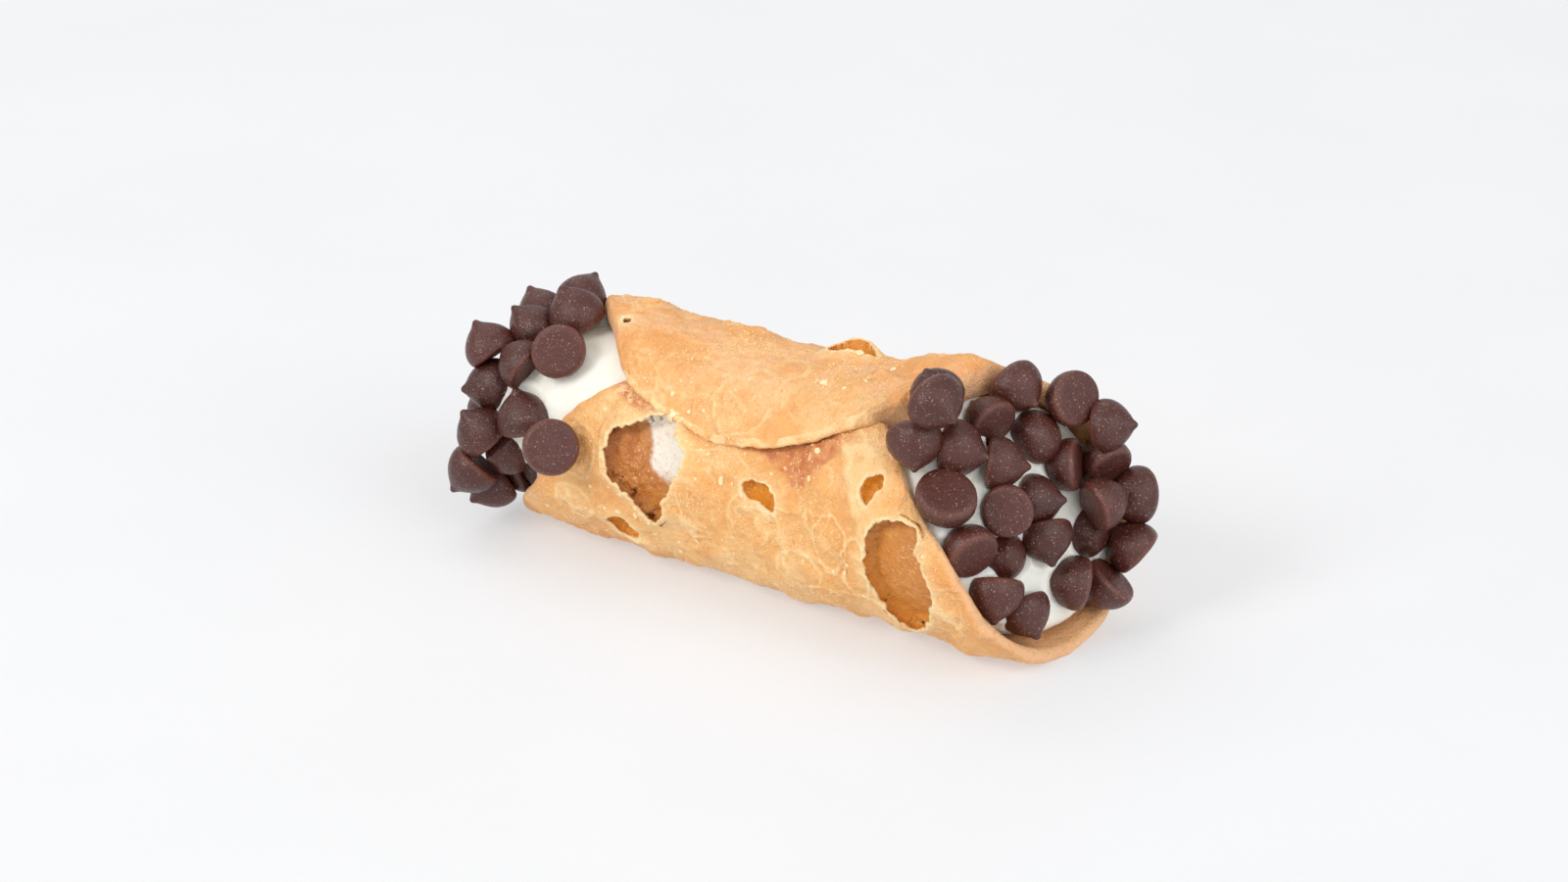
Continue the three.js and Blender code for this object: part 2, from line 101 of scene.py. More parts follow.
# Broken blisters: outline of (place along, angle), depth, how far the pit runs under the
# torn skin, how much the skin stands up round it, and how ragged the tear is.
TORN = [
    {
        "outline": [
            (-16.7, 13), (-15.9, 21), (-14.2, 27), (-12.4, 31.5), (-9.2, 39), (-7.9, 38.5),
            (-7, 28), (-6, 18), (-6.4, 8), (-8.1, -5), (-10.3, -19.5), (-11.7, -14),
            (-13.0, -7), (-15.4, -1), (-16.5, 6),
        ],
        "depth": 1.4, "under": 0.75, "raise": 0.5, "ragged": 0.42, "floor": "left",
    },
    {
        "outline": [
            (20.1, 12), (21.8, 14), (24.1, 15.5), (25.4, 11), (25.6, 4), (26.6, -5),
            (27.6, -15), (26.4, -29), (23.4, -46), (21.7, -40), (20.4, -32), (19.4, -20),
            (18.9, -8), (19.2, 3),
        ],
        "depth": 1.5, "under": 0.7, "raise": 0.5, "ragged": 0.3, "floor": "right",
    },
    {
        "outline": [(1.9, 14.5), (3.2, 18), (5.2, 16.5), (6.6, 11), (6.4, 6), (4.9, 7.5), (3.0, 9.5)],
        "depth": 1.2, "under": 0.35, "raise": 0.3, "ragged": 0.22, "floor": "amber",
    },
    {
        "outline": [(17.8, 30), (19.8, 32.5), (20.4, 28), (19.4, 24), (18.6, 19), (17.7, 23)],
        "depth": 1.0, "under": 0.25, "raise": 0.3, "ragged": 0.2, "floor": "amber",
    },
    {
        "outline": [(-17.3, -27), (-15.8, -22), (-14.2, -25), (-13.2, -33), (-14.2, -38), (-16.4, -36)],
        "depth": 1.0, "under": 0.25, "raise": 0.35, "ragged": 0.2, "floor": "amber",
    },
    {
        "outline": [(3.2, 95), (5.0, 101), (8.0, 102.5), (9.8, 98), (7.5, 93.5), (5.2, 92.5)],
        "depth": 0.9, "under": 0.2, "raise": 0.2, "ragged": 0.15, "floor": "amber",
    },
    {
        "outline": [(-21.4, 80), (-20.4, 81), (-20.1, 77.5), (-20.9, 76)],
        "depth": 0.4, "under": 0.1, "raise": 0.12, "ragged": 0.08, "floor": "dark",
    },
]

# Whole blisters: place along, angle, half sizes, height.
BLISTERS = [
    (-0.2, 52, 3.9, 4.0, 0.5), (7.5, 59, 3.2, 2.6, 0.34), (1.2, 73, 3.4, 2.4, 0.3),
    (-9.0, 58, 4.0, 2.6, 0.25), (-5.0, 70, 3.0, 2.0, 0.22), (12.0, 67, 3.4, 2.2, 0.3),
    (9.6, -22, 2.8, 2.4, 0.4), (17.4, -14, 1.6, 4.2, 0.5), (14.1, -3, 2.2, 3.2, 0.45),
    (12.5, -36, 2.4, 2.0, 0.35), (3.0, -3, 2.8, 3.6, 0.25), (1.5, -24, 2.4, 2.2, 0.25),
    (-3.0, -30, 2.6, 2.2, 0.25), (-3.4, 3, 1.8, 3.6, 0.22), (12.2, 15, 1.8, 3.8, 0.3),
    (-20.5, 8, 2.2, 3.2, 0.25), (-21.5, -22, 2.6, 2.4, 0.25), (29.0, -22, 1.6, 2.4, 0.3),
    (20.5, 66, 2.4, 2.2, 0.4), (30.0, 112, 3.0, 3.4, 0.4), (-22.0, 104, 3.0, 3.0, 0.35),
]

# Folds and thin ridges of skin: points of (place along, angle), half width, height.
RIDGES = [
    ([(14.8, 40), (15.9, 30), (17.0, 20), (18.0, 10)], 0.85, 0.5),
    ([(5.6, 15), (6.9, 3), (7.3, -6), (8.2, -15)], 0.32, 0.22),
    ([(5.9, 9), (8.2, 7), (9.4, 8)], 0.22, 0.14),
    ([(-5.6, 79), (-3.0, 83), (-0.5, 85), (2.2, 93)], 0.3, 0.2),
    ([(-4.0, 46), (-4.6, 54), (-3.0, 62), (0.5, 64), (3.4, 61)], 0.3, 0.16),
    ([(4.0, 46), (7.0, 50), (10.5, 57), (14.5, 62)], 0.45, 0.2),
    ([(-7.4, -6), (-5.2, -16), (-3.0, -19)], 0.3, 0.16),
    ([(10.5, -12), (13.0, -14), (15.6, -20), (17.0, -29)], 0.35, 0.22),
    ([(1.0, -8), (0.4, 4), (1.8, 11)], 0.28, 0.14),
    ([(-16.2, 60), (-12.4, 64), (-9.0, 72), (-5.6, 76)], 0.5, 0.18),
    ([(-2.0, -36), (2.2, -30), (6.0, -33)], 0.3, 0.2),
    ([(13.2, 80), (17.0, 74), (20.5, 77), (23.4, 84)], 0.6, 0.4),
]

# Rough, darker patches of the layer under the flap.
PATCHES = [
    [(2.0, 36), (8.5, 43), (13.8, 52), (13.4, 42), (12.0, 30), (9.4, 20.5), (7.4, 24), (4.2, 29)],
    [(-17.4, 52), (-12.5, 45), (-7.8, 38.5), (-10.5, 34), (-14.0, 37), (-17.2, 42)],
]

# The filling, as in the part: where each face stands, how it leans, domes and rounds off.
GAP = 0.3
RIM_RECESS = 0.4
RIGHT_FACE = {"end": RIGHT_END, "stand": 30.2, "lean": 0.43, "dome": 2.0, "corner": 2.6}
LEFT_FACE = {"end": LEFT_END, "stand": 35.6, "lean": 0.12, "dome": 1.2, "corner": 3.5}
FILLING_COLUMNS = 260 if FINE else 140
FACE_ROWS = 120 if FINE else 70
CORE_ROWS = 16


# ---- Small helpers ----

def srgb(red, green, blue):
    """A colour given as 0 to 255 values of red, green and blue, made linear."""
    share = np.array([red, green, blue]) / 255.0
    return np.where(share <= 0.04045, share / 12.92, ((share + 0.055) / 1.055) ** 2.4)


def smoothstep(value, low, high):
    share = np.clip((value - low) / (high - low), 0, 1)
    return share * share * (3 - 2 * share)


def lerp(a, b, share):
    return a + (b - a) * share


def wrap(angle):
    return (angle + 180) % 360 - 180


def arc(angle):
    """Millimetres round the roll for an angle."""
    return np.radians(angle) * ROLL_RADIUS


def cell_value(i, j, k, seed):
    mixed = (i * 374761393 + j * 668265263 + k * 1440670441 + seed * 974634777) & 0x7FFFFFFF
    mixed = ((mixed ^ (mixed >> 13)) * 1274126177) & 0x7FFFFFFF
    return ((mixed ^ (mixed >> 16)) & 0xFFFF) / 65535.0


def noise(points, size, seed=0):
    """Smooth noise from -1 to 1 with features about `size` across."""
    place = points / size + 517.3
    cell = np.floor(place).astype(np.int64)
    part = place - cell
    part = part * part * (3 - 2 * part)
    total = np.zeros(len(points))
    for corner in range(8):
        step = np.array([corner & 1, corner >> 1 & 1, corner >> 2])
        weight = np.prod(np.where(step == 1, part, 1 - part), axis=1)
        total += weight * cell_value(*(cell + step).T, seed)
    return total * 2 - 1


def grain(points, size, seed=0, octaves=3):
    """Noise with finer and finer noise added to it."""
    total = np.zeros(len(points))
    for octave in range(octaves):
        total += noise(points, size / 2.1 ** octave, seed + octave) * 0.55 ** octave
    return total


def mix(tint, colour, amount):
    share = np.clip(amount, 0, 1) * np.ones(len(tint))
    return tint + (colour - tint) * share[:, None]


def to_line(along, across, line):
    """Distance to a line of points, with the nearest point on it."""
    best = np.full(len(along), 1e9)
    near = np.zeros((len(along), 2))
    for (ax, ay), (bx, by) in zip(line[:-1], line[1:]):
        length = max((bx - ax) ** 2 + (by - ay) ** 2, 1e-9)
        share = np.clip(((along - ax) * (bx - ax) + (across - ay) * (by - ay)) / length, 0, 1)
        px, py = ax + share * (bx - ax), ay + share * (by - ay)
        distance = np.hypot(along - px, across - py)
        closer = distance < best
        best[closer] = distance[closer]
        near[closer, 0] = px[closer]
        near[closer, 1] = py[closer]
    return best, near


def inside(along, across, line):
    """True for the points inside a closed line."""
    within = np.zeros(len(along), bool)
    for (ax, ay), (bx, by) in zip(line[:-1], line[1:]):
        crosses = (ay > across) != (by > across)
        if by != ay:
            within ^= crosses & (along < (bx - ax) * (across - ay) / (by - ay) + ax)
    return within


def closed_curve(points, step):
    """A smooth closed line through points, in short steps."""
    ring = np.array(points, float)
    line = []
    for i in range(len(ring)):
        a, b, c, d = (ring[(i + k - 1) % len(ring)] for k in range(4))
        count = max(int(np.hypot(*(c - b)) / step), 2)
        for t in np.arange(count) / count:
            line.append(0.5 * (2 * b + (c - a) * t + (2 * a - 5 * b + 4 * c - d) * t ** 2
                               + (3 * b - a - 3 * c + d) * t ** 3))
    return np.array(line)


def ragged(points, amount, seed):
    """The line of a tear: a smooth closed curve with a jagged edge."""
    line = closed_curve([(x, arc(angle)) for x, angle in points], 0.22)
    run = np.roll(line, -1, 0) - np.roll(line, 1, 0)
    normal = np.stack([run[:, 1], -run[:, 0]], 1) / np.hypot(*run.T)[:, None]
    flat = np.c_[line, np.full(len(line), 3.7)]
    push = noise(flat, 1.5, seed) + 0.8 * noise(flat, 0.55, seed + 1)
    line = line + normal * (push * amount)[:, None]
    return np.vstack([line, line[:1]])


# ---- The rolled shell ----

def tube_radius(x):
    return lerp(NARROW_RADIUS, WIDE_RADIUS, smoothstep(x, *FLARE))


def on_tube(x, angle, radius):
    turn = np.radians(angle)
    height = tube_radius(x) - REST_SINK + radius * np.sin(turn)
    return np.stack([x, -radius * np.cos(turn), height], -1)


def rim_reach(end, from_notch):
    round_ = np.radians(180 - np.abs(wrap(from_notch))) * ROLL_RADIUS
    share = round_ / (end["round"] / 2)
    reach = end["reach"] * np.sqrt(np.maximum(0, 1 - share * share))
    for at, depth, spread in end["dips"]:
        reach = reach - depth * np.exp(-((wrap(from_notch - at) / spread) ** 2))
    return reach


def seam_angle(x):
    return lerp(LEFT_END["notch"], RIGHT_END["notch"], np.clip((x / NOTCH_X + 1) / 2, 0, 1))


def column_angle(x, from_seam):
    share = x / NOTCH_X
    hang = np.where(np.abs(share) < 1, FLAP_HANG * (1 - share * share), 0)
    fade = 1 - smoothstep(np.abs(wrap(from_seam)), 0, HANG_FADE)
    return seam_angle(x) + from_seam - hang * fade


def sheet_columns():
    """For each column of the sheet, from under the flap, round its edge, over the roll and
    back under it: angle from the edge, share tucked under, turn round the edge, and the
    matching angle inside."""
    steps = np.interp(
        np.linspace(0, 1, NEAR_COLUMNS + FAR_COLUMNS),
        [0, FLAP_SHARE, FLAP_SHARE + BACK_SHARE, 1],
        [0, NEAR_FROM, NEAR_AGAIN, 360],
    )
    tuck = np.linspace(0, 1, TUCK_COLUMNS)
    edge = np.linspace(-90, 90, EDGE_COLUMNS)
    around = np.concatenate([0 * tuck, 0 * edge, steps[1:], 0 * tuck[1:] + 360])
    under = np.concatenate([1 - tuck, 0 * edge, 0 * steps[1:], tuck[1:]])
    turn = np.concatenate([0 * tuck - 90, edge, 0 * steps[1:] + 90, 0 * tuck[1:] + 90])
    lower = np.concatenate([0 * tuck, 0 * edge, 0 * steps[1:], 0 * tuck[1:] + 1])
    inner = around.copy()
    head = TUCK_COLUMNS + EDGE_COLUMNS
    inner[:head] = np.linspace(-0.2, 0, head)
    inner[-TUCK_COLUMNS:] = np.linspace(359.7, 359.8, TUCK_COLUMNS)
    return around, under, turn, lower, inner


def flap_step(x):
    """How far the flap's edge stands over the layer below: thin on the left, lifted right."""
    return lerp(0.62, FLAP_STEP, smoothstep(x, -7, 5))


def flap_gap(x):
    return lerp(0.04, 0.5, smoothstep(x, -3, 4)) * (1 - smoothstep(x, 11, 16.5))


def whole_blisters():
    """The named blisters and small ones strewn over the rest of the shell."""
    rng = np.random.default_rng(11)
    made = list(BLISTERS)
    for _ in range(90):
        size = rng.uniform(0.6, 2.0)
        made.append((
            rng.uniform(-34, 35), rng.uniform(-180, 180), size * rng.uniform(0.8, 1.5),
            size * rng.uniform(0.8, 1.4), rng.uniform(0.06, 0.26),
        ))
    return made


def relief(x, angle, spot):
    """Height of the fried surface over the plain roll, and how pale or dark it is there."""
    height = 0.36 * grain(spot, 9, 1, 2) + 0.26 * grain(spot, 2.8, 5, 2)
    height += 0.08 * grain(spot, 0.8, 9, 2) + 0.03 * noise(spot, 0.34, 12)
    pale = 0.3 * grain(spot, 5, 21, 3)
    for size, seed, high in ((6.0, 15, 0.22), (3.6, 17, 0.14)):
        field = noise(spot, size, seed) + 0.35 * noise(spot, size / 3, seed + 1)
        vein = np.clip(1 - np.abs(field) * size * 1.3, 0, 1)
        vein = vein * smoothstep(noise(spot, size, seed + 40), -0.2, 0.3)
        height += high * vein
        pale += 2.2 * high * vein
    for cx, cangle, along, across, high in SWELLS:
        d = np.hypot((x - cx) / along, arc(wrap(angle - cangle)) / across)
        height += high * (1 - smoothstep(d, 0, 1))
    wobble = 0.16 * noise(spot, 1.6, 31) + 0.07 * noise(spot, 0.6, 32)
    for cx, cangle, along, across, high in whole_blisters():
        close = np.abs(x - cx) < along * 1.6
        d = np.full(len(x), 9.0)
        d[close] = np.hypot((x[close] - cx) / along, arc(wrap(angle[close] - cangle)) / across)
        d = d + wobble
        height += high * (1 - smoothstep(d, 0.35, 1.05))
        pale += high * 0.5 * (1 - smoothstep(d, 0.4, 0.95))
        pale += high * 1.6 * np.exp(-((d - 1.0) / 0.09) ** 2)
        height += high * 0.35 * np.exp(-((d - 1.0) / 0.1) ** 2)
    for points, half, high in RIDGES:
        line = [(px, arc(pangle)) for px, pangle in points]
        d, _ = to_line(x, arc(wrap(angle)), line)
        d = d + 0.5 * half * noise(spot, 1.1, 35)
        crest = np.exp(-np.clip(d / half, 0, 9) ** 2)
        broken = 0.65 + 0.35 * noise(spot, 1.4, 37)
        height += 1.5 * high * crest * broken
        pale += 2.0 * high * crest * broken
    return height, pale


def tear(x, angle, hole, seed):
    """What a broken blister does to the surface: the outline's distance (less than 0
    inside) and the nearest point of it."""
    line = ragged(hole["outline"], hole["ragged"], seed)
    across = arc(wrap(angle))
    low, high = line.min(0) - 4, line.max(0) + 4
    near = (x > low[0]) & (x < high[0]) & (across > low[1]) & (across < high[1])
    distance = np.full(len(x), 9.0)
    nearest = np.stack([x, across], 1)
    d, point = to_line(x[near], across[near], line)
    within = inside(x[near], across[near], line)
    distance[near] = np.where(within, -d, d)
    nearest[near] = point
    return distance, nearest


def sheet_rows(rows_at):
    """For each row, from the left rim over the outside, round the right lip, back along
    the inside and round the left lip: share of the length, degrees turned over a lip (0
    outside, 180 inside), and whether it is on the right or the left lip."""
    right_end = OUTER_ROWS + LIP_ROWS
    inner_end = right_end + INNER_ROWS
    right = (rows_at > OUTER_ROWS) & (rows_at <= right_end)
    within = (rows_at > right_end) & (rows_at <= inner_end)
    left = rows_at > inner_end
    along = np.where(rows_at <= OUTER_ROWS, rows_at / OUTER_ROWS, 0.0)
    along = np.where(right, 1.0, along)
    along = np.where(within, 1 - (rows_at - right_end) / INNER_ROWS, along)
    turned = np.where(right, (rows_at - OUTER_ROWS) / LIP_ROWS * 180, 0.0)
    turned = np.where(within, 180.0, turned)
    turned = np.where(left, 180 - (rows_at - inner_end) / LIP_ROWS * 180, turned)
    return along, turned, right, left


def place_along(along, turned, right, left, inner):
    """Where each point is along the roll, with ragged rims and round lips."""
    rim_spot = on_tube(np.zeros(len(inner)), seam_angle(0) + inner, ROLL_RADIUS)
    low = -rim_reach(LEFT_END, inner) + RIM_RAGGED * grain(rim_spot, 3.2, 41, 3)
    high = rim_reach(RIGHT_END, inner) + RIM_RAGGED * grain(rim_spot, 3.2, 44, 3)
    bulge = LIP_ROUND * np.sin(np.radians(turned))
    x = lerp(low + LIP_ROUND, high - LIP_ROUND, along)
    return x + np.where(right, bulge, 0) - np.where(left, bulge, 0)


def place_round(x, turned, around, under, turn, inner, thick, open_share):
    """The angle of each point: the outside with the flap's wavy edge and the part tucked
    under it, and the inside."""
    edge_out = 0.9 * (thick / 2) * np.cos(np.radians(turn))
    from_seam = around + TUCK * open_share * under - np.degrees(edge_out / ROLL_RADIUS)
    line = np.stack([x, 0 * x, 0 * x], 1)
    edge_wave = 0.6 * noise(line, 2.2, 51) + 0.4 * noise(line, 0.7, 52)
    near_edge = 1 - smoothstep(np.abs(wrap(from_seam)), 0, 6)
    angle_out = column_angle(x, from_seam) + EDGE_RAGGED * edge_wave * near_edge * open_share
    angle_in = column_angle(x, inner)
    return wrap(lerp(angle_out, angle_in, smoothstep(turned, 0, 180)))


def layer_height(around, under, turn, lower, on_flap, step, gap):
    """How far the dough stands over the plain roll: the flap, its edge and its underside."""
    thick = step - gap
    fade = FLAP_STEP * (1 - smoothstep(around, 0, FLAP_FADE))
    top = lerp(step, fade, smoothstep(around, 0, 25))
    edge_height = gap + thick / 2 + thick / 2 * np.sin(np.radians(turn))
    layer = np.where(turn < 90, edge_height, np.where(on_flap, top, 0.0))
    layer = np.where((under > 0) & (lower == 0), gap * (1 - under ** 2), layer)
    return np.where(lower == 1, 0.0, layer)


def open_blisters(x, angle, spot, tint, outside, on_flap):
    """The pits of the broken blisters: how far each point is lifted, how much it belongs
    to a floor, how far it is moved along and round, and its colour."""
    lift = np.zeros(len(x))
    floor_share = np.zeros(len(x))
    shift = np.zeros((len(x), 2))
    for i, hole in enumerate(TORN):
        distance, nearest = tear(x, angle, hole, 70 + 3 * i)
        high_up = hole["outline"][0][1] > 60
        mine = outside & (on_flap if high_up else ~on_flap)
        depth_in = np.where(mine, -distance, -9.0)
        fall = SKIN * smoothstep(depth_in, 0, 0.16)
        fall += (hole["depth"] + hole["raise"] - SKIN) * smoothstep(depth_in, 0.3, 0.95)
        moved = np.interp(
            depth_in, [0, 0.16, 0.34, PIT_WIDE], [0, 0.16, -hole["under"], PIT_WIDE],
        )
        shift_by = np.where((depth_in > 0) & (depth_in < PIT_WIDE), depth_in - moved, 0.0)
        toward = nearest - np.stack([x, arc(wrap(angle))], 1)
        toward /= np.maximum(np.hypot(*toward.T), 1e-6)[:, None]
        shift += toward * shift_by[:, None]
        raise_by = hole["raise"] * np.exp(-(np.maximum(-depth_in, 0) / 1.3) ** 2)
        raise_by = np.where(mine & (depth_in > -6), raise_by, 0.0)
        floor_share = np.maximum(floor_share, smoothstep(depth_in, 0.1, 0.5))
        lift += raise_by - fall
        rough = 0.09 * grain(spot, 0.9, 81, 3) + 0.1 * grain(spot, 2.4, 83, 2)
        lift += rough * smoothstep(depth_in, 0.6, 1.2)
        tint = pit_colours(tint, hole, depth_in, x, angle, spot)
    return lift, floor_share, shift, tint


def roll_sheet(rows_at, columns_at):
    """Where each point of the flat sheet goes when it is rolled, and its colour."""
    around, under, turn, lower, inner = (part[columns_at] for part in sheet_columns())
    along, turned, right, left = sheet_rows(rows_at)
    x = place_along(along, turned, right, left, inner)
    open_share = 1 - np.abs(2 * along - 1) ** 6
    step, gap = flap_step(x), flap_gap(x) * open_share
    angle = place_round(x, turned, around, under, turn, inner, step - gap, open_share)
    on_flap = (around < FLAP_FADE) & (lower == 0)
    layer = layer_height(around, under, turn, lower, on_flap, step, gap)

    spot = on_tube(x, angle, ROLL_RADIUS + np.where(on_flap, 2.4, 0.0))
    height, pale = relief(x, angle, spot)
    shown = (1 - 0.9 * under) * np.where(turn < 90, 0.6, 1.0)
    half = WALL / 2
    radius = tube_radius(x) - half + half * np.cos(np.radians(turned))
    outside = np.cos(np.radians(turned / 2)) ** 2
    height = height * shown * outside + layer * outside
    rim = 1 - smoothstep(np.minimum(along, 1 - along), 0.0, 0.035)
    height -= 0.25 * rim * outside
    height += (1 - outside) * 0.08 * grain(spot, 1.4, 61, 2)

    tint = shell_colours(x, angle, spot, pale, turned, around, under, along, gap)
    skin = (rows_at <= OUTER_ROWS) & (under == 0)
    lift, floor_share, shift, tint = open_blisters(x, angle, spot, tint, skin, on_flap)
    lift = np.where(floor_share > 0.5, lift - height * 0.8 * floor_share, lift)
    x = x + shift[:, 0]
    angle = angle + np.degrees(shift[:, 1] / ROLL_RADIUS)
    points = on_tube(x, angle, radius + height + lift)
    points[:, 2] = np.maximum(points[:, 2], 0.02 * (1 + noise(spot, 1.2, 90)))
    return points, tint


GOLD = srgb(238, 178, 106)
PALE = srgb(250, 214, 156)
TOAST = srgb(222, 148, 78)
BROWN = srgb(186, 108, 48)
RED = srgb(196, 104, 58)
# A pale tan painted on as light: a painted highlight on the top and paler lips round the rims.
PAINTED_LIGHT_TAN = srgb(240, 194, 152)
AMBER = srgb(232, 150, 22)
CREAM = srgb(253, 243, 228)
TORN_EDGE = srgb(252, 222, 172)
PIT_TAN = srgb(206, 138, 70)
PIT_GOLD = srgb(226, 158, 84)
PIT_SHADE = srgb(120, 66, 26)
PALE_SPECK = srgb(255, 240, 212)
FRECKLE = srgb(170, 100, 56)
CRUMB = srgb(250, 222, 176)
FLAKE = srgb(250, 226, 184)
CREAM_COOL = srgb(251, 247, 236)
CREAM_WARM = srgb(251, 244, 230)
CREAM_FLECK = srgb(214, 186, 150)
CHOCOLATE_DARK = srgb(66, 29, 22)
CHOCOLATE_RED = srgb(80, 37, 29)
CHOCOLATE_CLOUD = srgb(86, 42, 34)
CHOCOLATE_BASE = srgb(88, 44, 36)
CHOCOLATE_EDGE = srgb(124, 72, 58)
CHOCOLATE_SPECK = srgb(190, 152, 136)


def shell_colours(x, angle, spot, pale, turned, around, under, along, gap):
    """The colour of the outside: gold with paler and toasted tones, paler where the skin is blistered,
    toasted round the rims and a little darker inside. Painted light and shade: the upward-facing top is
    toned darker and given a pale painted highlight, partly dust; the crease and the dough tucked under
    the flap's edge are painted darker as painted shade; the lips are painted paler, partly their pale
    edge and partly painted light."""
    tint = np.tile(GOLD, (len(x), 1))
    cloud = grain(spot, 7, 101, 3)
    tint = mix(tint, TOAST, 0.42 * smoothstep(-cloud, -0.1, 0.9))
    tint = mix(tint, PALE, 0.55 * smoothstep(cloud, 0.0, 0.9))
    tint = mix(tint, PALE, 0.85 * smoothstep(pale, 0.04, 0.8))
    tint = mix(tint, TOAST, 0.8 * smoothstep(-pale, 0.1, 0.7))
    # Painted light on the upward-facing top: toned darker with painted shade, and given a pale painted
    # highlight, partly dust.
    upward_facing = smoothstep(angle, 30, 70) * (1 - smoothstep(angle, 120, 170))
    tint = mix(tint, TOAST, 0.42 * upward_facing)
    tint = mix(tint, PAINTED_LIGHT_TAN, 0.4 * upward_facing * smoothstep(grain(spot, 4, 105, 3), -0.3, 0.6))
    mottle = grain(spot, 1.3, 111, 3)
    tint = mix(tint, TOAST, 0.35 * smoothstep(mottle, 0.35, 1.0))
    tint = mix(tint, PALE, 0.35 * smoothstep(-mottle, 0.35, 1.0))
    for i, outline in enumerate(PATCHES):
        line = closed_curve([(px, arc(pangle)) for px, pangle in outline], 0.5)
        line = np.vstack([line, line[:1]])
        d, _ = to_line(x, arc(wrap(angle)), line)
        d = np.where(inside(x, arc(wrap(angle)), line), -d, d) + 0.7 * grain(spot, 1.5, 121 + i, 2)
        amount = smoothstep(-d, -0.5, 0.6) * (around > 200)
        crisp = 0.8 + 0.5 * noise(spot, 0.6, 125)
        tint = mix(tint, RED, 0.85 * amount * crisp)
        tint = mix(tint, PALE, 0.8 * amount * smoothstep(grain(spot, 0.5, 127, 2), 0.45, 0.8))
    # Painted shade: the crease along the flap's edge is painted darker, and reddish where the edge
    # stands off the layer below, partly the reddish underside.
    crease = np.where(around > 300, 360 - around, 99.0)
    tint = mix(tint, RED * 0.8, 0.9 * np.exp(-(crease / 2.0) ** 2) * smoothstep(gap, 0.05, 0.3))
    tint = mix(tint, TOAST, 0.7 * np.exp(-(crease / 2.2) ** 2))
    lip = (around < 2.2) * (under == 0) * smoothstep(noise(spot, 1.1, 151), -0.3, 0.5)
    tint = mix(tint, PALE, 0.85 * lip)
    # Painted shade: the dough tucked under the flap's edge is painted brown.
    tint = mix(tint, BROWN, np.clip(under * 3, 0, 1))
    near_rim = np.minimum(along, 1 - along)
    tint = mix(tint, TOAST, 0.3 * (1 - smoothstep(near_rim, 0.0, 0.05)))
    # Painted light: the lips round the rims are painted paler, partly their pale rough edge.
    tint = mix(tint, PAINTED_LIGHT_TAN, smoothstep(turned, 10, 80) * 0.6)
    tint = mix(tint, TOAST, smoothstep(turned, 130, 180) * 0.2)
    return tint


def pit_colours(tint, hole, depth_in, x, angle, spot):
    """The torn edge is pale, and the floor of the pit browner and rough, with painted shade in a band
    just inside the torn edge and a painted amber glow along the lower edge of the right pit.
    """
    edge = np.exp(-((depth_in + 0.08) / 0.26) ** 2)
    tint = mix(tint, TORN_EDGE, edge * (0.85 + 0.5 * noise(spot, 0.9, 137)))
    halo = np.exp(-((depth_in + 0.6) / 0.6) ** 2)
    tint = mix(tint, PALE, 0.3 * halo)
    floor = smoothstep(depth_in, 0.1, 0.3)
    speck = grain(spot, 0.7, 131, 3)
    brown = mix(np.tile(BROWN, (len(x), 1)), PIT_TAN, 0.4 + 0.8 * speck)
    # Painted shade: a dark band just inside the torn edge, under the skin that stands up round the pit.
    brown = mix(brown, PIT_SHADE, 0.45 * np.exp(-((depth_in - 0.5) / 0.35) ** 2))
    brown = mix(brown, PALE, 0.7 * smoothstep(grain(spot, 0.45, 135, 2), 0.75, 1.15))
    if hole["floor"] == "left":
        low = smoothstep(-angle, -14, 14)
        brown = mix(brown, AMBER, 0.28 * low)
        cream = smoothstep(x + 0.06 * (angle - 26) + 0.7 * grain(spot, 2, 141, 3), -12.4, -11.2)
        cream *= smoothstep(angle + 5 * grain(spot, 2, 143, 2), 3, 12)
        brown = mix(brown, CREAM, 0.97 * cream)
    if hole["floor"] == "right":
        brown = mix(mix(brown, PIT_GOLD, 0.35), AMBER, 0.25)
        # Painted light: an amber glow painted along the lower torn edge of the right pit.
        painted_glow = smoothstep(-(angle + 5 * (x - 20)), -8, 26) * (1 - smoothstep(depth_in, 0.3, 1.7))
        brown = mix(brown, AMBER, 0.7 * painted_glow)
    if hole["floor"] == "amber":
        brown = mix(brown, AMBER, 0.95)
    return tint * (1 - floor)[:, None] + brown * floor[:, None]


# ---- Making meshes ----

def deselect():
    bpy.ops.object.select_all(action="DESELECT")


def sheet(name, rows, columns):
    """A flat grid with its rows and columns counted from 0."""
    deselect()
    bpy.ops.mesh.primitive_grid_add(x_subdivisions=rows, y_subdivisions=columns, size=2)
    piece = bpy.context.object
    piece.name = piece.data.name = name
    flat = np.empty(len(piece.data.vertices) * 3)
    piece.data.vertices.foreach_get("co", flat)
    flat = flat.reshape(-1, 3)
    rows_at = np.rint((flat[:, 0] + 1) / 2 * rows).astype(int)
    columns_at = np.rint((flat[:, 1] + 1) / 2 * columns).astype(int)
    return piece, rows_at, columns_at


def reshape(piece, points):
    """Moves the piece's vertices, given in millimetres."""
    piece.data.vertices.foreach_set("co", (points * MM).astype(np.float32).ravel())
    piece.data.update()


def tinted(piece, tint):
    layer = piece.data.color_attributes.new("tint", "FLOAT_COLOR", "POINT")
    layer.data.foreach_set("color", np.c_[tint, np.ones(len(tint))].astype(np.float32).ravel())


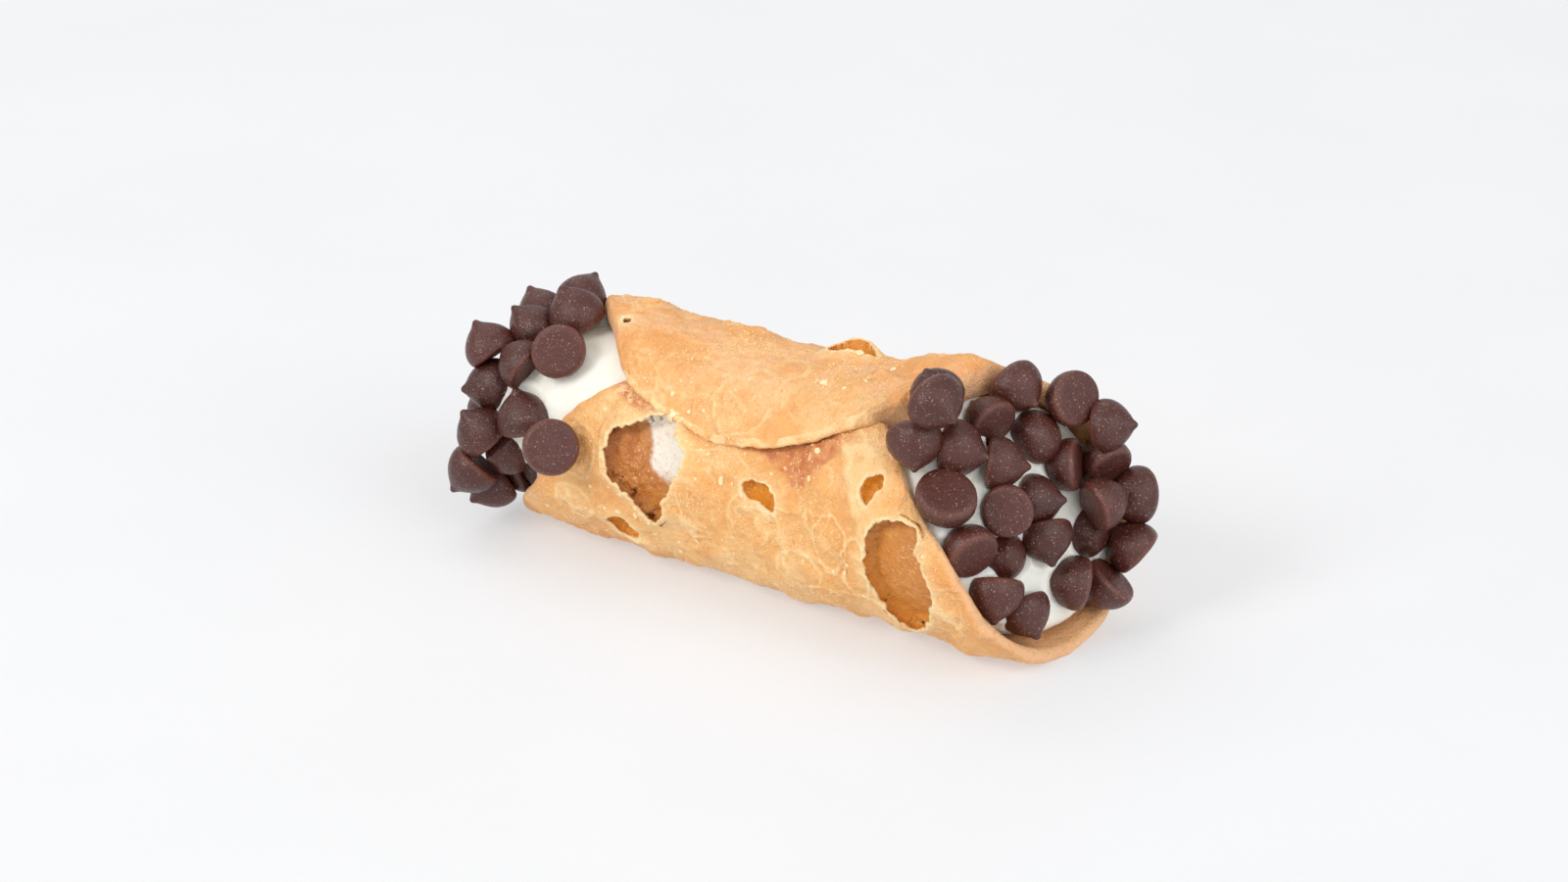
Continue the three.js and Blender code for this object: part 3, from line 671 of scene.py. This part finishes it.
def close_up(piece, gap=0.002):
    """Joins the edges that meet, and turns every face outward."""
    deselect()
    piece.select_set(True)
    bpy.context.view_layer.objects.active = piece
    bpy.ops.object.mode_set(mode="EDIT")
    bpy.ops.mesh.select_all(action="SELECT")
    bpy.ops.mesh.remove_doubles(threshold=gap * MM)
    bpy.ops.mesh.normals_make_consistent(inside=False)
    bpy.ops.object.mode_set(mode="OBJECT")
    bpy.ops.object.shade_smooth()


def build_shell(material):
    columns = len(sheet_columns()[0]) - 1
    rows = OUTER_ROWS + 2 * LIP_ROWS + INNER_ROWS
    piece, rows_at, columns_at = sheet("pastry_shell", rows, columns)
    points, tint = roll_sheet(rows_at, columns_at)
    reshape(piece, points)
    tinted(piece, tint)
    close_up(piece)
    piece.data.materials.append(material)
    return piece


# ---- The cream filling ----

def face_profile(face, angle, share):
    """Radius and distance along at a share of the way from the middle of the face, out to
    its corner, and back along the wall to the rim."""
    end = face["end"]
    to_notch = np.cos(np.radians(angle - end["notch"]))
    wall = tube_radius(end["side"] * face["stand"]) - WALL - GAP
    q = face["corner"]

    def stand(radius):
        domed = face["dome"] * (1 - (radius / wall) ** 2)
        return face["stand"] - face["lean"] * radius * to_notch + domed

    shoulder = stand(wall) - q
    rim = np.minimum(rim_reach(end, angle - end["notch"]) - RIM_RECESS, shoulder - GAP)
    flat = np.clip(share / 0.6, 0, 1) * (wall - q)
    turn = np.clip((share - 0.6) / 0.3, 0, 1) * math.pi / 2
    radius = flat + q * np.sin(turn)
    back = np.clip((share - 0.9) / 0.1, 0, 1)
    return radius, lerp(stand(radius) - q * (1 - np.cos(turn)), rim - 1.5, back)


def face_point(face, angle, share):
    radius, along = face_profile(face, angle, share)
    x = face["end"]["side"] * along
    wall = tube_radius(face["end"]["side"] * face["stand"]) - WALL - GAP
    fit = tube_radius(x) - tube_radius(face["end"]["side"] * face["stand"])
    return on_tube(x, angle, radius + fit * (radius / wall))


def build_filling(material, drops):
    """One body of cream with a face at each end, lifted a little round every drop."""
    rows = 2 * FACE_ROWS + CORE_ROWS
    piece, rows_at, columns_at = sheet("cream_filling", rows, FILLING_COLUMNS)
    angle = columns_at / FILLING_COLUMNS * 360
    left = face_point(LEFT_FACE, angle, np.clip(rows_at / FACE_ROWS, 0, 1))
    right = face_point(RIGHT_FACE, angle, np.clip((rows - rows_at) / FACE_ROWS, 0, 1))
    core = np.clip((rows_at - FACE_ROWS) / CORE_ROWS, 0, 1)[:, None]
    points = left * (1 - core) + right * core
    face_share = np.where(rows_at < rows / 2, rows_at, rows - rows_at) / FACE_ROWS
    exposed = 1 - smoothstep(face_share, 0.88, 1.0)
    side = np.where(rows_at < rows / 2, -1.0, 1.0)
    axis = np.stack([side, 0 * side, 0 * side], 1)
    centre = np.stack([0 * side, 0 * side, tube_radius(points[:, 0]) - REST_SINK], 1)
    outward = points * [0, 1, 1] - centre
    outward /= np.maximum(np.linalg.norm(outward, axis=1), 1e-6)[:, None]
    lean = smoothstep(face_share, 0.55, 0.92)[:, None]
    normal = axis * (1 - lean) + outward * lean
    normal /= np.linalg.norm(normal, axis=1)[:, None]
    lift = 0.22 * grain(points, 6, 201, 2) + 0.05 * grain(points, 1.4, 205, 2)
    for drop in drops:
        away = np.linalg.norm(points - drop["middle"], axis=1) - drop["width"] * 0.5
        lift += 0.3 * np.exp(-(np.abs(away) / 0.55) ** 2)
        offset = points - drop["middle"]
        level = np.sum(offset * normal, 1)
        beside = np.linalg.norm(offset - normal * level[:, None], axis=1)
        over = np.maximum(level - 0.12 * drop["width"], 0)
        sunk = 1.4 * over * (1 - smoothstep(beside, 0.46 * drop["width"], 0.6 * drop["width"]))
        lift -= np.where(np.abs(level) < drop["width"], sunk, 0)
    points = points + normal * (lift * exposed)[:, None]
    reshape(piece, points)
    close_up(piece)
    piece.data.materials.append(material)
    return piece


# ---- The chocolate drops ----

# Half of a drop's outline: radius and height as shares of its half width and height.
DROP_OUTLINE = [
    (0, 0.012), (0.4, 0.008), (0.78, 0.0), (0.9, 0.02), (0.97, 0.08), (1.0, 0.18), (0.985, 0.3),
    (0.92, 0.43), (0.8, 0.56), (0.63, 0.68), (0.45, 0.775), (0.3, 0.84), (0.205, 0.89),
    (0.15, 0.935), (0.1, 0.98), (0.05, 1.0), (0, 1.005),
]
# The drops swell out over the gaps that the part leaves between them.
DROP_FULLNESS = 1.11
DROP_SEGMENTS = 44
DROP_RINGS = 30


def drop_frame(node):
    """Where a drop's flat base is, the way its tip points, its width and its height."""
    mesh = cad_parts[node].data
    normals = np.array([face.normal for face in mesh.polygons])
    areas = np.array([face.area for face in mesh.polygons])
    centres = np.array([face.center for face in mesh.polygons])
    level = normals @ normals.T > 0.9995
    flat = level[np.argmax(level @ areas)]
    base = np.average(centres[flat], axis=0, weights=areas[flat]) / MM
    axis = -np.average(normals[flat], axis=0, weights=areas[flat])
    axis /= np.linalg.norm(axis)
    points = np.array([vertex.co for vertex in mesh.vertices]) / MM - base
    height = (points @ axis).max()
    radial = points - np.outer(points @ axis, axis)
    width = 2 * np.linalg.norm(radial, axis=1).max()
    return {
        "node": node, "axis": axis, "width": width * DROP_FULLNESS, "height": height * DROP_FULLNESS,
        "base": base - axis * height * (DROP_FULLNESS - 1) / 2,
        "middle": base + axis * height * 0.42,
    }


def drop_master():
    """A round drop of half width 1 and height 1, standing on its base."""
    deselect()
    bpy.ops.mesh.primitive_uv_sphere_add(segments=DROP_SEGMENTS, ring_count=DROP_RINGS, radius=1)
    master = bpy.context.object
    points = np.array([vertex.co for vertex in master.data.vertices])
    share = np.arccos(np.clip(-points[:, 2], -1, 1)) / math.pi
    outline = np.array(DROP_OUTLINE)
    run = np.r_[0, np.cumsum(np.hypot(*np.diff(outline, axis=0).T))]
    radius = np.interp(share * run[-1], run, outline[:, 0])
    height = np.interp(share * run[-1], run, outline[:, 1])
    turn = np.arctan2(points[:, 1], points[:, 0])
    points = np.stack([radius * np.cos(turn), radius * np.sin(turn), height], 1)
    master.data.vertices.foreach_set("co", points.ravel())
    bpy.ops.object.shade_smooth()
    return master


def build_drop(master, drop, material, seed):
    """One drop: a copy of the master set on its node, a little uneven, its tip bent."""
    rng = np.random.default_rng(300 + seed)
    piece = master.copy()
    piece.data = master.data.copy()
    piece.name = piece.data.name = "choc_" + drop["node"]
    bpy.context.scene.collection.objects.link(piece)
    points = np.array([vertex.co for vertex in master.data.vertices])
    side = np.cross(drop["axis"], [0.31, 0.87, 0.38])
    side /= np.linalg.norm(side)
    other = np.cross(drop["axis"], side)
    squash = rng.uniform(0.95, 1.05)
    bend = rng.uniform(-0.2, 0.2, 2)
    high = points[:, 2]
    across = points[:, 0] * squash + bend[0] * np.clip(high - 0.55, 0, 1) ** 1.5
    around = points[:, 1] / squash + bend[1] * np.clip(high - 0.55, 0, 1) ** 1.5
    half = drop["width"] / 2
    blunt = rng.uniform(0.9, 1.0)
    up = np.where(high > 0.85, 0.85 + (high - 0.85) * blunt, high)
    points = (
        drop["base"] + np.outer(across * half, side) + np.outer(around * half, other)
        + np.outer(up * drop["height"], drop["axis"])
    )
    bump = 0.05 * noise(points, 2.2, 310 + seed) + 0.02 * noise(points, 0.7, 320 + seed)
    middle = points - drop["middle"]
    points = points + middle / np.linalg.norm(middle, axis=1)[:, None] * bump[:, None]
    reshape(piece, points)
    # The rim of the base is marked to be painted lighter: partly wear, partly a painted highlight.
    edge = np.exp(-((high - 0.05) / 0.05) ** 2) * smoothstep(np.hypot(across, around), 0.8, 0.95)
    base = (high < 0.02) * 1.0
    rim_sheen_wear_base_tone = np.stack([edge, base, rng.uniform(0, 1) + 0 * edge], 1)
    tinted(piece, rim_sheen_wear_base_tone)
    piece.data.materials.append(material)
    return piece


# ---- Crumbs on the shell ----

def build_crumbs(shell, material, name, count, size, flat, seed):
    """Crumbs or flakes lying on the outside of the shell, joined into one piece."""
    rng = np.random.default_rng(seed)
    deselect()
    bpy.ops.mesh.primitive_ico_sphere_add(subdivisions=1, radius=1)
    piece = bpy.context.object
    piece.name = piece.data.name = name
    corners = np.array([vertex.co for vertex in piece.data.vertices])
    faces = np.array([face.vertices[:] for face in piece.data.polygons])
    mesh = shell.data
    co = np.empty(len(mesh.vertices) * 3)
    mesh.vertices.foreach_get("co", co)
    normals = np.empty(len(mesh.vertices) * 3)
    mesh.vertices.foreach_get("normal", normals)
    co, normals = co.reshape(-1, 3) / MM, normals.reshape(-1, 3)
    centre = np.stack([0 * co[:, 0], 0 * co[:, 0], tube_radius(co[:, 0]) - REST_SINK], 1)
    out = co * [0, 1, 1] - centre
    distance = np.linalg.norm(out, axis=1)
    good = (distance > tube_radius(co[:, 0]) - 0.35) & (np.sum(out * normals, 1) > 0.6 * distance)
    good &= co[:, 2] > 0.6
    spots = np.flatnonzero(good)
    clumps = noise(co[spots], 4.5, seed + 3)
    weight = np.clip(0.35 + clumps, 0.05, 2) ** 2
    chosen = rng.choice(spots, count, replace=False, p=weight / weight.sum())
    all_points, all_faces = [], []
    for k, spot in enumerate(chosen):
        normal = normals[spot]
        side = np.cross(normal, rng.normal(size=3))
        side /= np.linalg.norm(side)
        other = np.cross(normal, side)
        half = size[0] * (size[1] / size[0]) ** (rng.random() ** 2.2) / 2
        shape = corners * rng.uniform(0.7, 1.3, (len(corners), 1))
        spread = rng.uniform(0.6, 1.0)
        lift = half * flat
        all_points.append(
            co[spot] + normal * lift * 0.5 + np.outer(shape[:, 0] * half, side)
            + np.outer(shape[:, 1] * half * spread, other) + np.outer(shape[:, 2] * lift, normal)
        )
        all_faces.append(faces + k * len(corners))
    points, polygons = np.concatenate(all_points) * MM, np.concatenate(all_faces)
    made = bpy.data.meshes.new(name)
    made.from_pydata(points.tolist(), [], polygons.tolist())
    piece.data = made
    made.materials.append(material)
    return piece


# ---- Materials ----

# The colour sockets of a mix node.
COLOUR_A, COLOUR_B, COLOUR_RESULT = 6, 7, 2


class Look:
    """A material whose nodes are added one after another."""

    def __init__(self, name):
        self.material = bpy.data.materials.new(name)
        self.material.use_nodes = True
        self.nodes = self.material.node_tree.nodes
        self.links = self.material.node_tree.links
        self.surface = self.nodes["Principled BSDF"]
        self.place = self.add("ShaderNodeTexCoord").outputs["Object"]

    def add(self, kind, **values):
        node = self.nodes.new(kind)
        for key, value in values.items():
            setattr(node, key, value)
        return node

    def join(self, value, socket):
        if isinstance(value, bpy.types.NodeSocket):
            self.links.new(value, socket)
        else:
            socket.default_value = value

    def noise(self, per_mm, detail=3, roughness=0.55):
        node = self.add("ShaderNodeTexNoise")
        node.inputs["Scale"].default_value = per_mm / MM
        node.inputs["Detail"].default_value = detail
        node.inputs["Roughness"].default_value = roughness
        self.links.new(self.place, node.inputs["Vector"])
        return node.outputs["Fac"]

    def cells(self, per_mm):
        node = self.add("ShaderNodeTexVoronoi")
        node.inputs["Scale"].default_value = per_mm / MM
        self.links.new(self.place, node.inputs["Vector"])
        return node.outputs["Distance"]

    def ramp(self, value, low, high, start=0.0, end=1.0):
        node = self.add("ShaderNodeMapRange", interpolation_type="SMOOTHSTEP")
        self.join(value, node.inputs["Value"])
        for key, number in (("From Min", low), ("From Max", high), ("To Min", start), ("To Max", end)):
            node.inputs[key].default_value = number
        return node.outputs["Result"]

    def mix(self, amount, a, b):
        node = self.add("ShaderNodeMix", data_type="RGBA")
        self.join(amount, node.inputs["Factor"])
        self.join(a, node.inputs[COLOUR_A])
        self.join(b, node.inputs[COLOUR_B])
        return node.outputs[COLOUR_RESULT]

    def math(self, operation, a, b):
        node = self.add("ShaderNodeMath", operation=operation)
        self.join(a, node.inputs[0])
        self.join(b, node.inputs[1])
        return node.outputs[0]

    def bump(self, height, depth, below=None):
        node = self.add("ShaderNodeBump")
        node.inputs["Distance"].default_value = depth * MM
        self.join(height, node.inputs["Height"])
        if below is not None:
            self.links.new(below, node.inputs["Normal"])
        return node.outputs["Normal"]

    def set(self, **sockets):
        for key, value in sockets.items():
            self.join(value, self.surface.inputs[key.replace("_", " ")])


def rgba(colour):
    return (*[float(value) for value in colour], 1.0)


def pastry_look():
    look = Look("fried_pastry")
    tint = look.add("ShaderNodeAttribute", attribute_name="tint").outputs["Color"]
    fine = look.noise(1.6, 4, 0.6)
    darker = look.mix(look.ramp(fine, 0.52, 0.72), tint, rgba(TOAST * 0.95))
    colour = look.mix(0.4, tint, darker)
    specks = look.noise(4.2, 2, 0.5)
    where = look.ramp(look.noise(0.22, 3), 0.42, 0.62, 0.12, 0.8)
    amount = look.math("MULTIPLY", look.ramp(specks, 0.6, 0.72), where)
    colour = look.mix(amount, colour, rgba(PALE_SPECK))
    freckles = look.noise(2.7, 2, 0.5)
    colour = look.mix(look.ramp(freckles, 0.68, 0.76, 0, 0.45), colour, rgba(FRECKLE))
    rough = look.ramp(look.noise(0.5, 3), 0.35, 0.7, 0.36, 0.56)
    normal = look.bump(look.noise(1.1, 4, 0.6), 0.3)
    normal = look.bump(specks, 0.16, normal)
    look.set(Base_Color=colour, Roughness=rough, Normal=normal)
    look.surface.inputs["Specular IOR Level"].default_value = 0.5
    look.surface.inputs["Subsurface Weight"].default_value = 0.25
    look.surface.inputs["Subsurface Radius"].default_value = (1.0, 0.5, 0.22)
    look.surface.inputs["Subsurface Scale"].default_value = 0.7 * MM
    return look.material


def crumb_look(name, colour):
    look = Look(name)
    made = look.mix(look.ramp(look.noise(1.2), 0.35, 0.65), rgba(colour), rgba(PALE))
    normal = look.bump(look.noise(3.0), 0.05)
    look.set(Base_Color=made, Roughness=0.6, Normal=normal)
    return look.material


def cream_look():
    look = Look("cream")
    cloud = look.ramp(look.noise(0.16, 3), 0.35, 0.7)
    colour = look.mix(cloud, rgba(CREAM_COOL), rgba(CREAM_WARM))
    specks = look.ramp(look.cells(0.32), 0.0, 0.09, 0.35, 0.0)
    colour = look.mix(specks, colour, rgba(CREAM_FLECK))
    normal = look.bump(look.noise(0.9, 4), 0.14)
    rough = look.ramp(look.noise(0.6), 0.3, 0.7, 0.34, 0.5)
    look.set(Base_Color=colour, Roughness=rough, Normal=normal)
    look.surface.inputs["Subsurface Weight"].default_value = 0.7
    look.surface.inputs["Subsurface Radius"].default_value = (1.0, 0.85, 0.6)
    look.surface.inputs["Subsurface Scale"].default_value = 1.2 * MM
    return look.material


def chocolate_look():
    look = Look("chocolate")
    parts = look.add("ShaderNodeSeparateColor")
    rim_sheen_wear_base_tone = look.add("ShaderNodeAttribute", attribute_name="tint").outputs["Color"]
    look.links.new(rim_sheen_wear_base_tone, parts.inputs[0])
    edge, base, own = parts.outputs[0], parts.outputs[1], parts.outputs[2]
    dark = look.mix(own, rgba(CHOCOLATE_DARK), rgba(CHOCOLATE_RED))
    cloud = look.ramp(look.noise(0.35, 3), 0.4, 0.7, 0, 0.55)
    colour = look.mix(cloud, dark, rgba(CHOCOLATE_CLOUD))
    colour = look.mix(look.math("MULTIPLY", base, 0.5), colour, rgba(CHOCOLATE_BASE))
    # Painted highlight: the rim of the base is painted lighter, partly wear.
    colour = look.mix(look.math("MULTIPLY", edge, 0.6), colour, rgba(CHOCOLATE_EDGE))
    specks = look.ramp(look.noise(4.6, 2, 0.5), 0.63, 0.72, 0, 0.7)
    colour = look.mix(specks, colour, rgba(CHOCOLATE_SPECK))
    rough = look.ramp(look.noise(0.8, 3), 0.3, 0.7, 0.24, 0.38)
    rough = look.math("ADD", rough, look.math("MULTIPLY", base, 0.1))
    normal = look.bump(look.noise(0.45, 3), 0.22)
    normal = look.bump(look.noise(4.0, 3, 0.6), 0.1, normal)
    look.set(Base_Color=colour, Roughness=rough, Normal=normal)
    look.surface.inputs["Specular IOR Level"].default_value = 0.5
    return look.material


def floor_look():
    look = Look("pale_floor")
    tone = look.ramp(look.noise(0.02, 3), 0.3, 0.7)
    colour = look.mix(tone, FLOOR_DARK, FLOOR_LIGHT)
    normal = look.bump(look.noise(0.6, 3), 0.05)
    look.set(Base_Color=colour, Roughness=0.8, Normal=normal)
    look.surface.inputs["Emission Color"].default_value = (0.985, 0.985, 1.0, 1)
    look.surface.inputs["Emission Strength"].default_value = FLOOR_GLOW
    return look.material


# ---- Light, floor and camera ----

# The floor's colours, and the share of its brightness that it gives off by itself, so
# that the shadows on it stay faint.
FLOOR_DARK = (0.405, 0.41, 0.415, 1)
FLOOR_LIGHT = (0.42, 0.425, 0.43, 1)
FLOOR_GLOW = 0.43
FLOOR_RADIUS = 6
SURROUNDINGS = 0.6
# Lights: name, azimuth, elevation, distance, size in metres, watts, colour.
LIGHTS = [
    ("key", -20, 38, 0.9, 0.34, 3.7, (1.0, 0.985, 0.965)),
    ("back", -120, 60, 0.9, 0.6, 1.4, (1.0, 0.99, 0.98)),
    ("fill", 78, 34, 1.0, 0.8, 4.6, (0.98, 0.99, 1.0)),
]
# The camera: angles, what it points at and how far off it stands, in millimetres.
VIEW_AZIMUTH = 34
VIEW_ELEVATION = 24.94
VIEW_TARGET = (-1.27, 0, 15.84)
VIEW_DISTANCE = 488.3
LENS = 100
SENSOR = 36


def facing(azimuth, elevation):
    """The direction from the roll toward a light or the camera."""
    turn, up = math.radians(azimuth), math.radians(elevation)
    return Vector((math.sin(turn) * math.cos(up), -math.cos(turn) * math.cos(up), math.sin(up)))


def area_light(name, azimuth, elevation, distance, size, watts, colour):
    """A soft square light that points at the roll."""
    away = facing(azimuth, elevation)
    bpy.ops.object.light_add(type="AREA", location=away * distance)
    light = bpy.context.object
    light.name = name
    light.data.size = size
    light.data.energy = watts
    light.data.color = colour
    light.rotation_euler = (-away).to_track_quat("-Z", "Y").to_euler()


def build_stage():
    deselect()
    bpy.ops.mesh.primitive_circle_add(
        vertices=96, radius=FLOOR_RADIUS, fill_type="NGON", location=(0, 0, 0),
    )
    floor = bpy.context.object
    floor.name = "floor"
    floor.data.materials.append(floor_look())
    world = bpy.data.worlds.new("studio")
    world.use_nodes = True
    background = world.node_tree.nodes["Background"]
    background.inputs["Color"].default_value = (0.985, 0.99, 1.0, 1)
    background.inputs["Strength"].default_value = SURROUNDINGS
    scene = bpy.context.scene
    scene.world = world
    scene.view_settings.view_transform = "Standard"
    scene.view_settings.look = "None"
    for light in LIGHTS:
        area_light(*light)


def build_camera():
    away = facing(VIEW_AZIMUTH, VIEW_ELEVATION)
    target = Vector(VIEW_TARGET) * MM
    bpy.ops.object.camera_add(location=target + away * VIEW_DISTANCE * MM)
    camera = bpy.context.object
    camera.rotation_euler = (-away).to_track_quat("-Z", "Y").to_euler()
    camera.data.lens = LENS
    camera.data.sensor_width = SENSOR
    camera.data.clip_start = 0.01
    bpy.context.scene.camera = camera


# ---- Putting it together ----

def ready(piece, slot, *nodes):
    """Ties a finished piece to the frame."""
    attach(piece, "root")
    if nodes:
        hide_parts(*nodes)


drop_nodes = sorted(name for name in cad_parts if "_drop_" in name)
drops = [drop_frame(node) for node in drop_nodes]

pastry = pastry_look()
shell = build_shell(pastry)
ready(shell, "pastry", "shell")

filling = build_filling(cream_look(), drops)
ready(filling, "cream", "filling")

chocolate = chocolate_look()
master = drop_master()
for i, drop in enumerate(drops):
    ready(build_drop(master, drop, chocolate, i), "chocolate", drop["node"])
bpy.data.objects.remove(master)

# Crumbs: count, smallest and largest size, thickness for their size, seed.
grains = build_crumbs(
    shell, crumb_look("crumb_look", CRUMB), "pastry_crumbs", 6500, (0.08, 0.26), 0.7, 401,
)
ready(grains, "pastry")
flakes = build_crumbs(
    shell, crumb_look("flake_look", FLAKE), "pastry_flakes", 150, (0.4, 1.1), 0.22, 411,
)
ready(flakes, "pastry")

build_stage()
build_camera()
